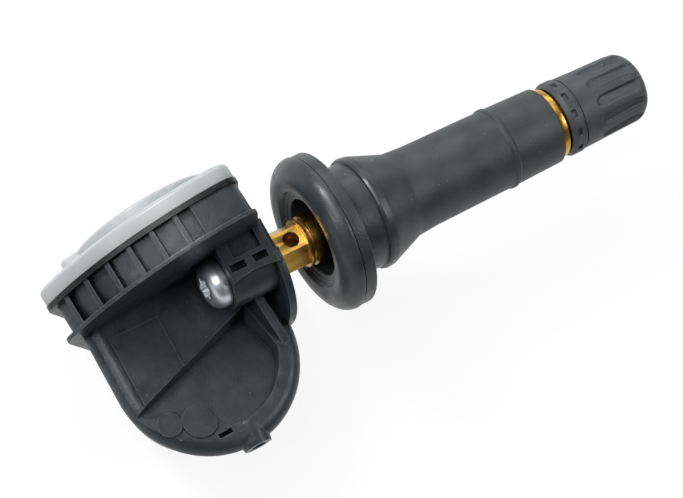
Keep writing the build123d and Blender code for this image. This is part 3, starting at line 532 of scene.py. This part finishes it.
def cap_stations():
    skirt = [CAP_BASE, *steps_at(CAP_BASE + CAP_LEAD)]
    skirt += [NOTCH_START + d for d in NOTCH_RISE]
    skirt += [(NOTCH_START + NOTCH_END) / 2]
    skirt += [NOTCH_END - d for d in reversed(NOTCH_RISE)]
    waist = [SKIRT_RING, CAP_WAIST - WAIST_GUARD, CAP_WAIST, CAP_WAIST + STEP_HALF]
    line = [*steps_at(STEP_LINE_START, STEP_LINE_END), BODY_RING]
    first, last = FLUTE_START - FLUTE_LEAD, CAP_END - CAP_DOME
    body = [first + (last - first) * i / FLUTE_ROWS for i in range(FLUTE_ROWS + 1)]
    dome = [last + CAP_DOME * sin(radians(d)) for d in DOME_ANGLES]
    return skirt + waist + line + body + dome


def cap_mesh():
    count = FLUTES * FLUTE_COLUMNS
    rings = [[(x, cap_radius(x, 2 * pi * k / count)) for k in range(count)] for x in cap_stations()]
    bore = [
        (CAP_END, CAP_CROWN), (CAP_END, 0), (CAP_CEILING, 0), (CAP_CEILING, CAP_BORE), (CAP_MOUTH, CAP_BORE),
        (CAP_BASE + CAP_LIP, CAP_MOUTH_RADIUS), (CAP_BASE, CAP_MOUTH_RADIUS + CAP_LIP),
    ]
    return rings_mesh("valve_cap", rings + [[p] * count for p in bore])


add_piece("valve_cap", cap_mesh(), cap_plastic, "cap", "cap_shell")


# Insert: the turned shape as far as the thread, then the nipple with its rolled thread
THREAD_START, THREAD_PITCH, THREAD_DEPTH, THREAD_HALF = 31.4, 0.79375, 0.42, 0.42
THREAD_PLAIN, THREAD_RUN_IN, THREAD_RUN_OUT = 0.5, 0.8, 0.2
THREAD_COLUMNS, THREAD_ROWS = 96, 110
NIPPLE_RADIUS, NIPPLE_END, NIPPLE_CHAMFER, NIPPLE_BORE = 3.85, 39.3, 0.5, 2.67


def thread_radius(x, angle):
    turn = (x / THREAD_PITCH - angle / (2 * pi)) % 1.0
    groove = 1 - min(1.0, abs(turn - 0.5) / THREAD_HALF)
    run_in = ease((x - THREAD_START - THREAD_PLAIN) / THREAD_RUN_IN)
    run_out = ease((NIPPLE_END - NIPPLE_CHAMFER - x) / THREAD_RUN_OUT)
    chamfer = max(0.0, x - NIPPLE_END + NIPPLE_CHAMFER)
    return NIPPLE_RADIUS - THREAD_DEPTH * groove * run_in * run_out - chamfer


def nipple_mesh():
    count = THREAD_COLUMNS
    stations = [THREAD_START + (NIPPLE_END - THREAD_START) * i / THREAD_ROWS for i in range(THREAD_ROWS + 1)]
    rings = [[(x, thread_radius(x, 2 * pi * k / count)) for k in range(count)] for x in stations]
    bore = [(NIPPLE_END, NIPPLE_BORE), (THREAD_START, NIPPLE_BORE)]
    return rings_mesh("nipple", rings + [[p] * count for p in bore])


def threaded_insert():
    insert = broken_edges("brass_stem", INSERT_BREAK)
    bm = bmesh.new()
    bm.from_mesh(insert)
    cut = bmesh.ops.bisect_plane(bm, geom=bm.verts[:] + bm.edges[:] + bm.faces[:],
                                 plane_co=(THREAD_START * MM, 0, 0), plane_no=STEM_AXIS, clear_outer=True)
    bmesh.ops.bridge_loops(bm, edges=[e for e in cut["geom_cut"] if isinstance(e, bmesh.types.BMEdge)])
    bm.from_mesh(nipple_mesh())
    bm.to_mesh(insert)
    bm.free()
    return insert


# Broken-edged shapes of the nodes that the camera sees
housing_shape = broken_edges("housing", HOUSING_BREAK)
add_piece("housing_moulding", housing_shape, nylon, "sensor", "housing", flat=True)
lid_shape = broken_edges("lid", LID_BREAK)
add_piece("lid_cover", lid_shape, lid_plastic, "sensor", "lid", flat=True)
add_piece("stem_insert", threaded_insert(), brass, "sensor", "brass_stem", flat=True)
screw_shape = broken_edges("retaining_screw", SCREW_BREAK)
add_piece("bright_screw", screw_shape, zinc, "sensor", "retaining_screw")


# Valve spring: a copy of the CAD spring's mesh (the real one shortens towards its lower end as the pin is
# pressed)
spring = add_piece("valve_spring", nodes["core_spring"].data.copy(), steel, "sensor", "core_spring")
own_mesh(spring)


# Carried-over nodes
for node, material in {
    "core_plug": core_brass, "core_barrel": core_brass, "core_pin": core_brass, "core_gasket": seal,
    "core_cup": seal, "cap_seal": seal, "port_filter": membrane, "circuit_board": board_material(),
    "battery_cell": steel, "battery_tab_bottom": steel, "battery_tab_top": steel, "sensor_chip": package,
    "crystal": steel, "lf_coil_core": ferrite, "lf_coil_winding": winding_material(), "chip_parts": fired,
    "antenna_strip": tin,
}.items():
    nodes[node].data.materials.clear()
    nodes[node].data.materials.append(material)


# Stage, in metres: pale floor, soft lights, camera at the photo's angle

FLOOR_GREY, FLOOR_GLOW, FLOOR_DROP, FLOOR_REACH = 0.80, 0.88, 0.0005, 3
WORLD_STRENGTH = 0.09
IMAGE_WIDTH, FOCAL_PIXELS, SENSOR_WIDTH = 683, 3211, 36
CLIP_NEAR, CLIP_FAR = 0.01, 20
CAMERA_PLACE = (-0.13026, -0.06726, 0.35059)
CAMERA_RIGHT = Vector((0.8453, -0.4853, 0.2236))
CAMERA_UP = Vector((0.4105, 0.8577, 0.3097))
LAMP_AIM = Vector((0.005, 0, 0))

# Name, place by the picture's own right, up and towards-the-camera directions, size and watts
LAMPS = (
    ("key", (-0.36, 0.44, 0.54), (0.18, 0.18), 5.0),
    ("front", (-0.24, 0.20, 0.85), (0.45, 0.45), 3.9),
    ("top", (0.05, 0.60, 0.50), (0.40, 0.40), 0.9),
    ("side", (0.72, 0.18, 0.45), (0.40, 0.40), 2.9),
    ("edge", (0.05, 0.65, 0.05), (0.70, 0.20), 1.5),
    ("spark", (-0.50, -0.08, 0.60), (0.07, 0.07), 0.9),
)


# The floor glows towards the camera and in reflections, and its share of plain surface keeps the shadow
def floor_material():
    material, tree, shader = new_material("floor", 0.9)
    shader.inputs["Base Color"].default_value = (*grey(FLOOR_GREY), 1)
    shader.inputs["Specular IOR Level"].default_value = 0.0
    path = tree.nodes.new("ShaderNodeLightPath")
    seen = path.outputs["Is Camera Ray"]
    for ray in ("Is Glossy Ray", "Is Transmission Ray"):
        either = tree.nodes.new("ShaderNodeMath")
        either.operation = "MAXIMUM"
        tree.links.new(seen, either.inputs[0])
        tree.links.new(path.outputs[ray], either.inputs[1])
        seen = either.outputs[0]
    share = tree.nodes.new("ShaderNodeMath")
    share.operation = "MULTIPLY"
    share.inputs[1].default_value = FLOOR_GLOW
    tree.links.new(seen, share.inputs[0])
    glow = tree.nodes.new("ShaderNodeEmission")
    glow.inputs["Color"].default_value = (1, 1, 1, 1)
    glow.inputs["Strength"].default_value = 1.0
    mix = tree.nodes.new("ShaderNodeMixShader")
    tree.links.new(share.outputs[0], mix.inputs["Fac"])
    tree.links.new(shader.outputs["BSDF"], mix.inputs[1])
    tree.links.new(glow.outputs["Emission"], mix.inputs[2])
    tree.links.new(mix.outputs["Shader"], tree.nodes["Material Output"].inputs["Surface"])
    return material


def add_floor():
    z = cad_box[0].z - FLOOR_DROP
    corners = [(x * FLOOR_REACH, y * FLOOR_REACH, z) for x, y in ((-1, -1), (1, -1), (1, 1), (-1, 1))]
    mesh = bpy.data.meshes.new("floor")
    mesh.from_pydata(corners, [], [(0, 1, 2, 3)])
    mesh.materials.append(floor_material())
    floor = bpy.data.objects.new("floor", mesh)
    scene.collection.objects.link(floor)


def add_world():
    world = bpy.data.worlds.new("world")
    scene.world = world
    world.use_nodes = True
    background = world.node_tree.nodes["Background"]
    background.inputs["Color"].default_value = (1, 1, 1, 1)
    background.inputs["Strength"].default_value = WORLD_STRENGTH


# The picture's right, up and towards-the-camera directions, square to each other
def camera_axes():
    back = CAMERA_RIGHT.cross(CAMERA_UP).normalized()
    up = back.cross(CAMERA_RIGHT).normalized()
    return Matrix((up.cross(back), up, back)).transposed()


def add_camera(axes):
    data = bpy.data.cameras.new("camera")
    data.sensor_width = SENSOR_WIDTH
    data.lens = FOCAL_PIXELS * SENSOR_WIDTH / IMAGE_WIDTH
    data.clip_start = CLIP_NEAR
    data.clip_end = CLIP_FAR
    camera = bpy.data.objects.new("camera", data)
    scene.collection.objects.link(camera)
    camera.matrix_world = Matrix.Translation(CAMERA_PLACE) @ axes.to_4x4()
    scene.camera = camera


def add_lamp(axes, name, place, size, watts):
    data = bpy.data.lights.new(name, "AREA")
    data.shape = "RECTANGLE"
    data.size, data.size_y = size
    data.energy = watts
    lamp = bpy.data.objects.new(name, data)
    scene.collection.objects.link(lamp)
    lamp.location = LAMP_AIM + axes @ Vector(place)
    lamp.rotation_mode = "QUATERNION"
    lamp.rotation_quaternion = (LAMP_AIM - lamp.location).to_track_quat("-Z", "Y")


add_floor()
add_world()
picture_axes = camera_axes()
add_camera(picture_axes)
for lamp_row in LAMPS:
    add_lamp(picture_axes, *lamp_row)

scene.view_settings.view_transform = "Standard"
